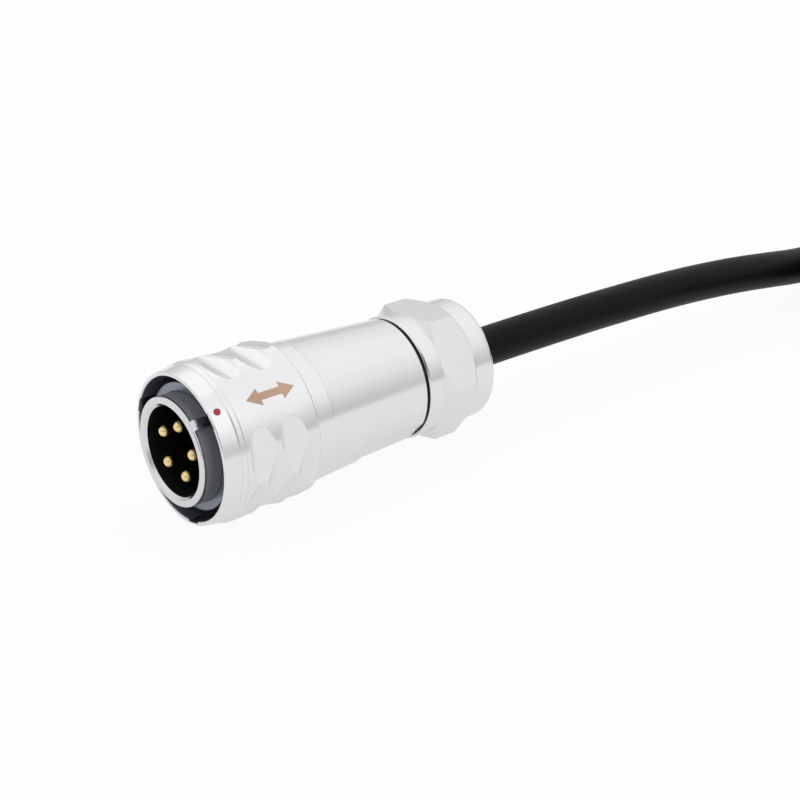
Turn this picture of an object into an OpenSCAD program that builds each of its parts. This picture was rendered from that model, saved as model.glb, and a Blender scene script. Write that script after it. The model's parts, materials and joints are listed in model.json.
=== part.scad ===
// Push pull circular connector: a five-pole cable plug with a spring-returned
// coupling sleeve, and the cable that goes into its clamping nut.
//
// All turned parts share one axis, which lies level along Y. The mating face
// looks towards -Y and the cable leaves towards +Y. Stations along the axis are
// millimetres behind the mouth of the coupling sleeve, and clock angles run
// from the top (+Z) towards +X. The part lies on Z = 0, with its origin under
// the middle of the plug.

/* [Nose] */
// Outer diameter of the nose tube that enters the socket
nose_d = 19.68; // [19:0.02:20.2]
// Wall of the nose tube, whose bore guides the socket's insulator
nose_wall = 1.74; // [1.5:0.02:2]
// How far the nose stands out of the sleeve's mouth
nose_reach = 1.9; // [1:0.1:3]
// Clock angle of the polarising key, of the red dot and of the arrow
key_angle = 43; // [0:0.5:90]
// Width of the polarising key
key_w = 1.8; // [1.2:0.1:2.6]
// Radial height of the key above the nose
key_h = 1; // [0.8:0.05:1.6]

/* [Contacts] */
// Number of contacts on the pitch circle
poles = 5; // [5:1:5]
// Diameter of a contact pin
pin_d = 2; // [1.6:0.1:2.2]
// Diameter of the circle that the pins stand on
pin_circle_d = 9.4; // [8.4:0.1:10]
// Station of the pin tips
pin_tip_s = -1.3; // [-1.6:0.1:1]
// Station of the insulator's front face
insulator_face_s = 6; // [4:0.1:8]

/* [Coupling sleeve] */
// Wall of the sleeve at the rear of its grip, where it is thickest
sleeve_wall = 1.7; // [1.55:0.05:2]
// How much smaller the grip is at its front
barrel_taper = 0.4; // [0:0.05:0.6]
// Width of the ring-shaped gap in the mouth that the socket's shell enters
socket_gap = 1.4; // [1.3:0.05:1.5]
// Length of the sleeve
sleeve_len = 19.55; // [19.3:0.05:20.4]
// How far the sleeve pulls back to unlock
sleeve_travel = 2.4; // [1.6:0.1:2.6]
// Width of the coding slots inside the mouth, as an angle
mouth_slot_angle = 13; // [8:1:18]

/* [Grip scoops] */
// Depth of the scoops in the first and third row
scoop_depth = 1.05; // [0.6:0.05:1.15]
// Depth of the scoops in the second and fourth row
scoop_depth_between = 1.15; // [0.6:0.05:1.2]
// Radius of the round cutter that makes the scoops
scoop_r = 4.15; // [3.4:0.05:5]
// Distance between a row and the next row in line with it
scoop_row_pitch = 6.4; // [5.6:0.1:6.6]
// Station of the first row
scoop_first_s = 7.5; // [7.2:0.1:8]
// Places for a scoop round the sleeve, with the one at the arrow left plain
scoop_places = 9; // [8:1:10]

/* [Rear body] */
// Diameter of the body at its rear end
body_rear_d = 22.7; // [22:0.1:23.4]
// Station of the body's rear shoulder
body_end_s = 45.4; // [44:0.1:47]
// Distance across the two wrench flats
body_flat_w = 21.8; // [21:0.1:22.2]
// Length of the wrench flats
body_flat_len = 13.6; // [8:0.1:16]

/* [Clamping nut] */
// Distance across the nut's flats
nut_flat_w = 23; // [22:0.1:24]
// Diameter of the nut's round collars
nut_collar_d = 23.2; // [22:0.1:23.6]
// Length of the nut
nut_len = 15.7; // [15:0.1:17.5]
// Lead of the clamping thread
thread_lead = 1; // [0.5:0.25:1.5]

/* [Cable] */
// Outer diameter of the cable
cable_d = 7.6; // [6.8:0.1:7.8]
// Diameter of one insulated core
core_d = 2; // [1.6:0.1:2.1]

/* [Hidden] */

$fn = 72;

// Clearances
slide_gap = 0.08;      // radial, between parts that slide on each other
seat_gap = 0.03;       // radial, between parts that are fitted together
end_gap = 0.1;         // axial, between a moving part and its stop
cut = 0.5;             // how far a cutter runs past what it cuts
full_turn = 360;

// Nose and key
nose_r = nose_d / 2;
nose_bore_r = nose_r - nose_wall;
nose_front_s = -nose_reach;
nose_lip = 0.55;                    // chamfer inside the nose's front edge
nose_edge_r = 0.3;                  // rounding outside the nose's front edge
nose_end_s = 24.2;
key_root = 0.6;                     // how deep it is rooted in the nose's wall
nose_relief = 0.89;                 // depth of the groove that the latch fingers spring into
nose_relief_r = nose_r - nose_relief;
insert_step = 0.55;                 // radial step that the insulator's flange seats on
insert_step_s = 14;                 // station of that step

// Release tube: a collar round the nose, with windows behind it for the latch teeth
collar_face_s = 1.8;                // station of its front face
collar_len = 1;
collar_w = 1.63;
tube_r = nose_r + slide_gap + collar_w;
tube_wall = 0.6;
tube_flange_s = 9.4;
tube_flange_len = 1;
tube_flange_end_s = tube_flange_s + tube_flange_len;
window_len = 2.7;
window_angle = 18;

// Latch collet: three sprung fingers with a tooth each
finger_count = 3;
finger_wall = 0.55;
finger_clear = 0.15;                // radial room between the fingers and the tube
finger_r = tube_r - tube_wall - finger_clear - finger_wall;
finger_tip_s = collar_face_s + collar_len + sleeve_travel + end_gap;
finger_slot_w = 1.4;
tooth_front_s = finger_tip_s + 0.3;
tooth_len = 2;
tooth_ramp = 1.2;
tooth_rise = 0.55;                  // how far the teeth stand out of the tube
tooth_r = tube_r + tooth_rise;
tooth_w = 3;
collet_root_s = 13.8;

// Sleeve
bore_r = tube_r + socket_gap;
barrel_r = bore_r + sleeve_wall;
barrel_front_r = barrel_r - barrel_taper / 2;
barrel_mid_r = barrel_r - barrel_taper / 4;
mouth_step = 0.7;                   // the rim at the mouth is this much smaller than the grip,
mouth_r = barrel_front_r - mouth_step;
rim_round = 0.3;
front_cone_end_s = 3.1;             // the front collar widens to here
front_cone_step = 0.3;              // where it is still this much smaller than the grip,
front_cone_end_r = barrel_front_r - front_cone_step;
bevel_end_s = 4.3;                  // and a bevel leads on to the barrel
groove_w = 0.12;                    // fine turned grooves at both ends of the bevel
rear_chamfer = 0.5;
mouth_slot_depth = 0.35;
mouth_slot_len = 7;
mouth_slots = 3;
mouth_slot_shift = 4;               // the slots sit this far round from the key

scoop_rows = 4;
scoop_row_shift = 0.4;              // rows in between stand this much further back

// Insets on the sleeve
mark_depth = 0.12;
dot_d = 1.2;
dot_s = 1.6;
arrow_front_s = 7.2;
arrow_len = 9.8;
arrow_head_len = 2.75;
arrow_head_w = 3.25;
arrow_shaft_w = 1.35;

// Rear body
band_r = bore_r - slide_gap;        // band that the sleeve slides back over
body_rear_r = body_rear_d / 2;
body_front_s = 17.2;
band_end_s = 23.6;
cone_start_r = band_r - 0.07;
core_room = 0.5;                    // the cavity for the cores is this much wider than the bore
body_core_r = nose_bore_r + core_room;
neck_step = 1.45;
neck_r = body_rear_r - neck_step;   // threaded neck that the nut screws on
neck_len = 8.2;
neck_wall = 2.75;
neck_bore_r = neck_r - neck_wall;
neck_step_s = 43.6;
seal_gap = 0.75;                    // gap in which the nut's seal shows
seal_free_gap = 0.05;

// Contacts
pin_r = pin_d / 2;
pin_shank_r = pin_r - 0.2;          // inside the insulator
pin_shank_s = insulator_face_s - 0.05;
pin_circle_r = pin_circle_d / 2;
pin_tip_round = pin_r - 0.02;
pin_collar_r = pin_r + 0.35;
pin_collar_s = 11;
pin_collar_len = 1.5;
cup_r = pin_r + 0.3;
cup_len = 4.5;
cup_bore_r = pin_r - 0.15;
insulator_flange_len = 3;
insulator_rear_len = 3.6;
insulator_rear_step = 1.2;
insulator_rear_r = nose_bore_r - insulator_rear_step;
insert_ring_len = 1.8;
cup_start_s = insert_step_s + insulator_flange_len + insulator_rear_len;

// Spring
spring_wire = 0.7;
spring_turns = 4;
spring_steps = 20;                  // facets in each turn
spring_sides = 8;

// Clamping nut and what it squeezes
nut_front_s = body_end_s + seal_gap;
nut_end_s = nut_front_s + nut_len;
nut_collar_r = nut_collar_d / 2;
nut_corner_r = nut_flat_w / 2 / cos(30);
nut_clock = 26.6;                   // clock angle of one of the hexagon's corners
hex_start_s = nut_front_s + 3.3;
hex_ramp = 1.1;
hex_corner_len = 4.7;
hex_rear_ramp = 1.9;
nut_rear_step = 0.15;               // the rear collar is this much smaller than the front one
nut_cable_gap = 1.1;                // radial room round the cable
nut_relief = 0.85;                  // radial room in the nut round the clamping collet
nut_relief_r = neck_bore_r + nut_relief;
nut_dome_r = 1.3;
nut_front_chamfer = 0.3;
washer_len = 2.6;
washer_web = 1.5;                   // flat part of the washer that the nut's shoulder pushes
washer_face_gap = 0.25;
grommet_front_s = neck_step_s + 0.9;
grommet_len = 10.6;
grommet_wall = 1.7;
collet_front_s = grommet_front_s;
collet_ring_len = 6.6;
collet_len = 12.6;
collet_fingers = 8;
collet_slot_w = 0.9;
collet_tip_s = collet_front_s + collet_len;
nut_shoulder_s = collet_tip_s + washer_face_gap + washer_web;

// Cable. It leaves the nut level, sags to the table and runs into a flat coil.
cable_r = cable_d / 2;
grommet_r = cable_r + grommet_wall;
core_r = core_d / 2;
core_circle_r = 1.9;
cable_inner_s = grommet_front_s + 1;
core_free_len = 5;                  // bare cores run straight this far out of the jacket
cable_sides = 12;

// Where the plug lies
scoop_sink = 0.177;                 // the sleeve lies this much lower on its scooped side
axis_z = barrel_r - scoop_sink;
origin_s = (nose_front_s + nut_end_s) / 2;

// Points that the cable's middle runs through past the nut
cable_route = [[0, 45, 14.43], [0, 60, 14.25], [0, 75, 13.85], [0, 90, 13.15], [0, 104, 11.95],
               [0, 112, 11], [0, 120, 9.85], [-0.4, 128, 8.5], [-1.3, 134, 7.5],
               [-2.8, 140, 6.6], [-4.7, 146, 5.8]];
coil_x = 33;                        // middle of the coil
coil_y = 165;
coil_entry_angle = 198;             // where the cable meets the coil's outer turn
coil_turn_r = 38;                   // middle of the turns
coil_end_angle = 335;               // the third turn lies on the other two and ends here,
coil_top_angle = 285;               // after this much of a turn
coil_floor = 0.85;                  // the ties hold the coil this far off the table
coil_z = coil_floor + cable_r;
coil_top_z = coil_z + cable_r * sqrt(3);
tie_angles = [135, 20];
tie_w = 12;
tie_t = 0.8;
tie_clear = 0.05;
core_end_angle = 26;                // arc that the stripped cores take up
core_sleeved_angle = 18;            // and the part of it that keeps its insulation
core_bare_r = 0.6;

// Lays what is drawn up the Z axis along the plug's axis, with clock angle 0 at the top
module on_axis() {
    translate([0, -origin_s, axis_z]) rotate([-90, 0, 0]) rotate([0, 0, -90]) children();
}

// A round part from its outline, given as [radius, station] points
module turned(outline) {
    rotate_extrude($fn = 96) polygon(outline);
}

// A plain ring between two stations
module ring(r_in, r_out, s0, s1) {
    turned([[r_in, s0], [r_out, s0], [r_out, s1], [r_in, s1]]);
}

// A quarter circle of points from angle a0, round [x, y]
function arc(x, y, r, a0, a1, n = 6) =
    [for (i = [0 : n]) let (a = a0 + (a1 - a0) * i / n) [x + r * cos(a), y + r * sin(a)]];

// Straight round bar from a to b
module bar(a, b, r) {
    d = b - a;
    l = norm(d);
    translate(a) rotate([0, acos(d[2] / l), atan2(d[1], d[0])]) cylinder(h = l, r = r, $fn = 24);
}

function pin_angle(i) = key_angle + 180 + (i - 3) * full_turn / poles;

// ---- nose --------------------------------------------------------------

module front_shell() {
    key_end_s = collar_face_s - end_gap;
    relief_s = finger_tip_s - end_gap / 2;
    color([0.86, 0.85, 0.87]) on_axis() union() {
        turned(concat(
            [[nose_bore_r, insert_step_s],
             [nose_bore_r, nose_front_s + nose_lip],
             [nose_bore_r + nose_lip, nose_front_s]],
            arc(nose_r - nose_edge_r, nose_front_s + nose_edge_r, nose_edge_r, -90, 0, 4),
            [[nose_r, relief_s], [nose_relief_r, relief_s],
             [nose_relief_r, collet_root_s - 0.2], [nose_r, collet_root_s - 0.2],
             [nose_r, nose_end_s],
             [nose_bore_r + insert_step, nose_end_s],
             [nose_bore_r + insert_step, insert_step_s]]));
        // polarising key, which is also the sleeve's front stop
        rotate([0, 0, key_angle])
            translate([nose_r - key_root, -key_w / 2, nose_front_s + 0.1])
                cube([key_h + key_root, key_w, key_end_s - nose_front_s - 0.1]);
    }
}

module insulator() {
    color([0.06, 0.055, 0.055]) on_axis() difference() {
        turned([[0, insulator_face_s], [nose_bore_r - seat_gap, insulator_face_s],
                [nose_bore_r - seat_gap, insert_step_s],
                [nose_bore_r + insert_step - seat_gap, insert_step_s],
                [nose_bore_r + insert_step - seat_gap, insert_step_s + insulator_flange_len],
                [insulator_rear_r, insert_step_s + insulator_flange_len],
                [insulator_rear_r, cup_start_s], [0, cup_start_s]]);
        for (i = [1 : poles]) rotate([0, 0, pin_angle(i)]) translate([pin_circle_r, 0, 0])
            pin_shape(seat_gap);
    }
}

// A contact with its rounded tip, its retaining collar and its solder cup
module pin_shape(extra = 0) {
    rotate_extrude($fn = 36) polygon(concat(
        [[0, pin_tip_s]],
        arc(pin_r - pin_tip_round, pin_tip_s + pin_tip_round, pin_tip_round + extra, -90, 0),
        [[pin_r + extra, pin_shank_s], [pin_shank_r + extra, pin_shank_s],
         [pin_shank_r + extra, pin_collar_s], [pin_collar_r + extra, pin_collar_s],
         [pin_collar_r + extra, pin_collar_s + pin_collar_len],
         [pin_shank_r + extra, pin_collar_s + pin_collar_len],
         [pin_shank_r + extra, cup_start_s], [cup_r, cup_start_s],
         [cup_r, cup_start_s + cup_len], [0, cup_start_s + cup_len]]));
}

module contact_pin(i) {
    color([0.93, 0.78, 0.48]) on_axis() rotate([0, 0, pin_angle(i)])
        translate([pin_circle_r, 0, 0]) difference() {
            pin_shape();
            translate([0, 0, cup_start_s + 1]) cylinder(h = cup_len, r = cup_bore_r, $fn = 24);
        }
}

// Threaded ring that holds the insulator against its step, with two key slots
module insert_ring() {
    s0 = insert_step_s + insulator_flange_len;
    color([0.7, 0.7, 0.72]) on_axis() difference() {
        ring(insulator_rear_r + 0.3, nose_bore_r + insert_step - seat_gap, s0, s0 + insert_ring_len);
        translate([-nose_r, -0.6, s0 + insert_ring_len - 0.7]) cube([nose_d, 1.2, 0.7 + cut]);
    }
}

// ---- latch -------------------------------------------------------------

module latch_collet() {
    finger_out_r = finger_r + finger_wall;
    slot_step = full_turn / finger_count;
    color([0.72, 0.7, 0.68]) on_axis() difference() {
        union() {
            turned([[finger_r, finger_tip_s], [finger_out_r, finger_tip_s],
                    [finger_out_r, collet_root_s], [tube_r - 0.1, collet_root_s],
                    [tube_r - 0.1, body_front_s], [nose_r + seat_gap, body_front_s],
                    [nose_r + seat_gap, collet_root_s], [finger_r, collet_root_s - 0.6]]);
            for (k = [0 : finger_count - 1])
                rotate([0, 0, key_angle + 60 + k * slot_step]) tooth(finger_out_r);
        }
        for (k = [0 : finger_count - 1]) rotate([0, 0, key_angle + k * slot_step])
            translate([nose_r - 1, -finger_slot_w / 2, finger_tip_s - cut])
                cube([3, finger_slot_w, collet_root_s - finger_tip_s]);
    }
}

// Tooth that stands out through a window, with a ramp that the window's edge rides on
module tooth(root_r) {
    intersection() {
        turned([[root_r - 0.2, tooth_front_s], [root_r, tooth_front_s],
                [tooth_r, tooth_front_s + tooth_ramp], [tooth_r, tooth_front_s + tooth_len],
                [root_r - 0.2, tooth_front_s + tooth_len]]);
        translate([0, -tooth_w / 2, 0]) cube([tooth_r + cut, tooth_w, collet_root_s]);
    }
}

module release_tube() {
    inner_r = tube_r - tube_wall;
    window_s = tooth_front_s - 0.2;
    color([0.8, 0.8, 0.83]) on_axis() difference() {
        turned([[nose_r + slide_gap, collar_face_s], [tube_r - 0.15, collar_face_s],
                [tube_r, collar_face_s + 0.15], [tube_r, tube_flange_s],
                [bore_r - seat_gap, tube_flange_s],
                [bore_r - seat_gap, tube_flange_end_s],
                [inner_r, tube_flange_end_s],
                [inner_r, collar_face_s + collar_len],
                [nose_r + slide_gap, collar_face_s + collar_len]]);
        for (k = [0 : finger_count - 1])
            rotate([0, 0, key_angle + 60 + k * full_turn / finger_count - window_angle / 2])
                rotate_extrude(angle = window_angle) translate([inner_r - cut, window_s])
                    square([tube_wall + 2 * cut, window_len]);
    }
}

// Return spring, drawn as a helix between the release tube's flange and the body
module sleeve_spring() {
    s0 = tube_flange_end_s + spring_wire / 2;
    s1 = body_front_s - spring_wire / 2;
    r = bore_r - 0.15 - spring_wire / 2;
    steps = spring_turns * spring_steps;
    points = [for (i = [0 : steps]) for (j = [0 : spring_sides - 1])
        let (a = full_turn * i / spring_steps, b = full_turn * j / spring_sides,
             q = r + spring_wire / 2 * cos(b))
        [q * cos(a), q * sin(a), s0 + (s1 - s0) * i / steps + spring_wire / 2 * sin(b)]];
    color([0.62, 0.62, 0.64]) on_axis() polyhedron(points, tube_faces(steps, spring_sides));
}

// Faces of a swept tube with closed ends
function tube_faces(rings, sides) = concat(
    [[for (j = [0 : sides - 1]) j]],
    [[for (j = [sides - 1 : -1 : 0]) rings * sides + j]],
    [for (i = [0 : rings - 1]) for (j = [0 : sides - 1])
        let (k = (j + 1) % sides)
        [i * sides + j, (i + 1) * sides + j, (i + 1) * sides + k, i * sides + k]]);

// ---- coupling sleeve ---------------------------------------------------

module sleeve_blank() {
    difference() {
        turned(concat(
            [[bore_r, 0.15], [bore_r + 0.15, 0]],
            arc(mouth_r - rim_round, rim_round, rim_round, -90, 0, 4),
            [[front_cone_end_r, front_cone_end_s],
             [front_cone_end_r - groove_w, front_cone_end_s + groove_w],
             [front_cone_end_r, front_cone_end_s + 2 * groove_w],
             [barrel_front_r, bevel_end_s - 2 * groove_w],
             [barrel_front_r - groove_w, bevel_end_s - groove_w],
             [barrel_front_r, bevel_end_s],
             [barrel_r, sleeve_len - rear_chamfer],
             [barrel_r - rear_chamfer, sleeve_len],
             [bore_r, sleeve_len]]));
        for (k = [0 : mouth_slots - 1])
            rotate([0, 0, key_angle + mouth_slot_shift - mouth_slot_angle / 2
                          + k * full_turn / mouth_slots])
                rotate_extrude(angle = mouth_slot_angle) translate([bore_r - cut, -cut])
                    square([mouth_slot_depth + cut, mouth_slot_len + cut]);
    }
}

// One scoop: a round cutter laid across the barrel, square to its axis
module scoop(s, clock, depth) {
    floor_r = barrel_mid_r - depth;
    reach = sqrt(barrel_r * barrel_r - floor_r * floor_r) + 0.4;
    rotate([0, 0, clock]) translate([floor_r + scoop_r, 0, s])
        rotate([90, 0, 0]) cylinder(h = 2 * reach, r = scoop_r, center = true, $fn = 64);
}

// Every other scoop of one row. Rows in between stand half a place round.
module scoop_set(row, first) {
    between = row % 2;
    depth = between == 1 ? scoop_depth_between : scoop_depth;
    s = scoop_first_s + row * scoop_row_pitch / 2 + between * scoop_row_shift;
    for (k = [first : 2 : scoop_places - 1 - between])
        scoop(s, key_angle + (k + between / 2) * full_turn / scoop_places, depth);
}

// The blank with the first n sets of scoops cut into it
module scooped_sleeve(n) {
    if (n == 0) sleeve_blank();
    else difference() {
        scooped_sleeve(n - 1);
        scoop_set(floor((n - 1) / 2), 1 + (n - 1) % 2);
    }
}

module coupling_sleeve() {
    color([0.88, 0.87, 0.89]) on_axis() difference() {
        scooped_sleeve(2 * scoop_rows);
        arrow_cutter();
        dot_cutter();
    }
}

// Outline of the double arrow, along X, from its front point
module arrow_outline() {
    head = arrow_head_w / 2;
    shaft = arrow_shaft_w / 2;
    polygon([[0, 0], [arrow_head_len, head], [arrow_head_len, shaft],
             [arrow_len - arrow_head_len, shaft], [arrow_len - arrow_head_len, head],
             [arrow_len, 0], [arrow_len - arrow_head_len, -head],
             [arrow_len - arrow_head_len, -shaft], [arrow_head_len, -shaft],
             [arrow_head_len, -head]]);
}

// Solid cone of the grip, made smaller by a depth
module grip_cone(depth) {
    translate([0, 0, bevel_end_s]) cylinder(h = sleeve_len - bevel_end_s,
        r1 = barrel_front_r - depth, r2 = barrel_r - depth, $fn = 96);
}

module arrow_prism() {
    rotate([0, 0, key_angle]) translate([barrel_front_r - 1.5, 0, arrow_front_s])
        rotate([0, 90, 0]) rotate([0, 0, 180]) linear_extrude(height = 3) arrow_outline();
}

module arrow_cutter() {
    difference() {
        arrow_prism();
        grip_cone(mark_depth);
    }
}

module arrow_mark() {
    color([0.85, 0.67, 0.55]) on_axis() intersection() {
        arrow_cutter();
        grip_cone(0);
    }
}

function cone_r(s) = mouth_r + (front_cone_end_r - mouth_r) * (s - rim_round)
    / (front_cone_end_s - rim_round);

module dot_cutter() {
    rotate([0, 0, key_angle]) translate([cone_r(dot_s) - 2 * mark_depth, 0, dot_s])
        rotate([0, 90, 0]) cylinder(h = 2, d = dot_d, $fn = 32);
}

module index_dot() {
    color([0.7, 0.16, 0.17]) on_axis() rotate([0, 0, key_angle])
        translate([cone_r(dot_s) - 2 * mark_depth, 0, dot_s]) rotate([0, 90, 0])
            cylinder(h = 2 * mark_depth, d = dot_d, $fn = 32);
}

// ---- rear body ---------------------------------------------------------

module rear_body() {
    flat_s = body_end_s - body_flat_len;
    color([0.87, 0.86, 0.88]) on_axis() difference() {
        turned([[nose_r + seat_gap, body_front_s], [band_r - 0.25, body_front_s],
                [band_r, body_front_s + 0.25], [band_r, band_end_s],
                [cone_start_r, band_end_s + 0.2],
                [body_rear_r, body_end_s], [neck_r, body_end_s],
                [neck_r, body_end_s + neck_len - 0.5], [neck_r - 0.5, body_end_s + neck_len],
                [neck_bore_r, body_end_s + neck_len], [neck_bore_r, grommet_front_s],
                [cable_r + 0.6, grommet_front_s], [cable_r + 0.6, neck_step_s],
                [body_core_r, neck_step_s - 3], [body_core_r, nose_end_s + 0.8],
                [nose_r + seat_gap, nose_end_s + 0.8]]);
        for (side = [-90, 90]) rotate([0, 0, key_angle + side])
            translate([body_flat_w / 2, -band_r, flat_s])
                cube([4, 2 * band_r, body_flat_len + cut]);
    }
}

// Flat ring between the nose tube's end and the step inside the body
module shell_seal() {
    color([0.12, 0.12, 0.12]) on_axis()
        ring(nose_bore_r + insert_step + 0.1, nose_r, nose_end_s, nose_end_s + 0.8);
}

// Seal under the nut, which shows as a dark line
module nut_seal() {
    s1 = nut_front_s - seal_free_gap;
    color([0.1, 0.1, 0.11]) on_axis()
        turned([[neck_r + seat_gap, body_end_s], [body_rear_r - 0.45, body_end_s],
                [body_rear_r - 0.3, (body_end_s + s1) / 2], [body_rear_r - 0.45, s1],
                [neck_r + seat_gap, s1]]);
}

// ---- cable clamp -------------------------------------------------------

module grommet() {
    color([0.14, 0.14, 0.14]) on_axis() difference() {
        ring(cable_r + seat_gap, grommet_r, grommet_front_s, grommet_front_s + grommet_len);
        for (k = [1 : 3])
            translate([0, 0, grommet_front_s + k * grommet_len / 4 - 0.4])
                difference() {
                    cylinder(h = 0.8, r = grommet_r + cut);
                    translate([0, 0, -cut]) cylinder(h = 0.8 + 2 * cut, r = grommet_r - 0.4);
                }
    }
}

module clamp_collet() {
    r_in = grommet_r + seat_gap;
    r_out = neck_bore_r - seat_gap;
    s1 = collet_front_s + collet_ring_len;
    color([0.9, 0.89, 0.85]) on_axis() difference() {
        turned([[r_in, collet_front_s], [r_out, collet_front_s], [r_out, collet_tip_s - 3],
                [r_in + 0.6, collet_tip_s], [r_in - 0.9, collet_tip_s],
                [r_in - 0.9, grommet_front_s + grommet_len],
                [r_in, grommet_front_s + grommet_len]]);
        for (k = [0 : collet_fingers - 1]) rotate([0, 0, k * full_turn / collet_fingers])
            translate([0, -collet_slot_w / 2, s1])
                cube([r_out + cut, collet_slot_w, collet_tip_s - s1 + cut]);
    }
}

// Ring that the nut pushes without turning it, so that the cable isn't twisted
module thrust_washer() {
    s1 = nut_shoulder_s - 0.03;
    s0 = s1 - washer_len;
    color([0.75, 0.75, 0.77]) on_axis()
        turned([[neck_bore_r + 0.05, s0], [nut_relief_r - 0.2, s0], [nut_relief_r - 0.2, s1],
                [cable_r + nut_cable_gap, s1],
                [cable_r + nut_cable_gap, collet_tip_s + washer_face_gap],
                [grommet_r + seat_gap + 0.65, collet_tip_s + washer_face_gap]]);
}

// Round and hexagonal parts of the nut, before it is bored
module nut_blank() {
    hex_end_s = hex_start_s + hex_ramp + hex_corner_len;
    rear_r = nut_collar_r - nut_rear_step;
    turned([[0, nut_front_s], [nut_collar_r - nut_front_chamfer, nut_front_s],
            [nut_collar_r, nut_front_s + nut_front_chamfer], [nut_collar_r, hex_start_s],
            [0, hex_start_s]]);
    intersection() {
        turned([[0, hex_start_s - cut], [nut_collar_r, hex_start_s - cut],
                [nut_collar_r, hex_start_s], [nut_corner_r, hex_start_s + hex_ramp],
                [nut_corner_r, hex_end_s], [rear_r, hex_end_s + hex_rear_ramp],
                [0, hex_end_s + hex_rear_ramp]]);
        rotate([0, 0, nut_clock]) cylinder(h = nut_end_s, r = nut_corner_r - 0.02, $fn = 6);
    }
    turned(concat(
        [[0, hex_end_s], [rear_r, hex_end_s]],
        arc(rear_r - nut_dome_r, nut_end_s - nut_dome_r, nut_dome_r, 0, 90),
        [[0, nut_end_s]]));
}

module clamp_nut() {
    hole_r = cable_r + nut_cable_gap;
    color([0.88, 0.87, 0.89]) on_axis() difference() {
        nut_blank();
        // thread, relief for the collet, and the way out for the cable
        translate([0, 0, nut_front_s - cut])
            cylinder(h = neck_len + 0.8 + cut, r = neck_r + slide_gap, $fn = 96);
        translate([0, 0, nut_front_s]) cylinder(h = nut_shoulder_s - nut_front_s, r = nut_relief_r);
        translate([0, 0, nut_front_s]) cylinder(h = nut_len + cut, r = hole_r);
        translate([0, 0, nut_end_s - 0.5]) cylinder(h = 1, r1 = hole_r, r2 = hole_r + 1);
    }
}

// ---- cable -------------------------------------------------------------

core_colours = [[0.1, 0.1, 0.1], [0.15, 0.3, 0.7], [0.42, 0.26, 0.16], [0.55, 0.55, 0.56],
                [0.75, 0.75, 0.15]];

// One core from its solder cup to the end of the jacket, inside the body
module core(i) {
    s0 = cup_start_s + 1.1;
    s1 = cup_start_s + cup_len + 1;
    s2 = cable_inner_s - core_free_len;
    color(core_colours[i - 1]) on_axis() rotate([0, 0, pin_angle(i)]) {
        bar([pin_circle_r, 0, s0], [pin_circle_r, 0, s1], cup_bore_r - 0.05);
        bar([pin_circle_r, 0, s1], [core_circle_r, 0, s2], core_r);
        bar([core_circle_r, 0, s2], [core_circle_r, 0, cable_inner_s], core_r);
        translate([pin_circle_r, 0, s1]) sphere(r = core_r + seat_gap, $fn = 24);
        translate([core_circle_r, 0, s2]) sphere(r = core_r + seat_gap, $fn = 24);
    }
}

// The stretch of cable from inside the grommet to the coil
module cable() {
    inside = [[0, cable_inner_s - origin_s, axis_z], [0, nut_end_s - origin_s, axis_z]];
    outer_r = coil_turn_r + cable_r;
    entry = [coil_x + outer_r * cos(coil_entry_angle), coil_y + outer_r * sin(coil_entry_angle),
             coil_z];
    line = concat(inside, cable_route, [entry]);
    last = len(line) - 1;
    points = [for (i = [0 : last])
        let (t = line[min(i + 1, last)] - line[max(i - 1, 0)],
             side = [t[1], -t[0], 0] / norm([t[0], t[1]]),
             up = cross(side, t) / norm(t))
        for (j = [0 : cable_sides - 1]) let (a = full_turn * j / cable_sides)
        line[i] + cable_r * (cos(a) * side + sin(a) * up)];
    color([0.05, 0.05, 0.05]) polyhedron(points, tube_faces(last, cable_sides));
}

// Lays a child round the coil's middle on the table
module at_coil() {
    translate([coil_x, coil_y, 0]) children();
}

// Outer shape of the coil: two turns side by side, and a third on top of them
module cable_coil() {
    color([0.05, 0.05, 0.05]) at_coil() union() {
        rotate_extrude($fn = 96) {
            for (side = [-1, 1]) translate([coil_turn_r + side * cable_r, coil_z])
                circle(r = cable_r, $fn = 32);
            translate([coil_turn_r - cable_r, coil_z - core_circle_r])
                square([cable_d, 2 * core_circle_r]);
        }
        rotate([0, 0, coil_end_angle]) rotate_extrude(angle = coil_top_angle, $fn = 96) {
            translate([coil_turn_r, coil_top_z]) circle(r = cable_r, $fn = 32);
            polygon([[coil_turn_r - cable_r, coil_z], [coil_turn_r + cable_r, coil_z],
                     [coil_turn_r, coil_top_z]]);
        }
    }
}

// Outline of the three bundled turns, grown by g
module bundle(g) {
    hull() {
        for (side = [-1, 1]) translate([coil_turn_r + side * cable_r, coil_z])
            circle(r = cable_r + g, $fn = 32);
        translate([coil_turn_r, coil_top_z]) circle(r = cable_r + g, $fn = 32);
    }
}

// Hook-and-loop tie round the bundle
module coil_tie(i) {
    angle = tie_w / coil_turn_r * 180 / PI;
    color([0.2, 0.2, 0.21]) at_coil() rotate([0, 0, tie_angles[i - 1]])
        rotate_extrude(angle = angle, $fn = 96) difference() {
            bundle(tie_clear + tie_t);
            bundle(tie_clear);
        }
}

// Stripped end of one core past the jacket's end, with its bare tip
module core_end(i) {
    a = 90 + (i - 3) * full_turn / poles;
    section = [coil_turn_r + core_circle_r * cos(a), coil_top_z + core_circle_r * sin(a)];
    color(core_colours[i - 1]) at_coil() union() {
        rotate([0, 0, coil_end_angle - core_sleeved_angle])
            rotate_extrude(angle = core_sleeved_angle, $fn = 96)
                translate(section) circle(r = core_r, $fn = 24);
        rotate([0, 0, coil_end_angle - core_end_angle])
            rotate_extrude(angle = core_end_angle, $fn = 96)
                translate(section) circle(r = core_bare_r, $fn = 24);
    }
}

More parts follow.
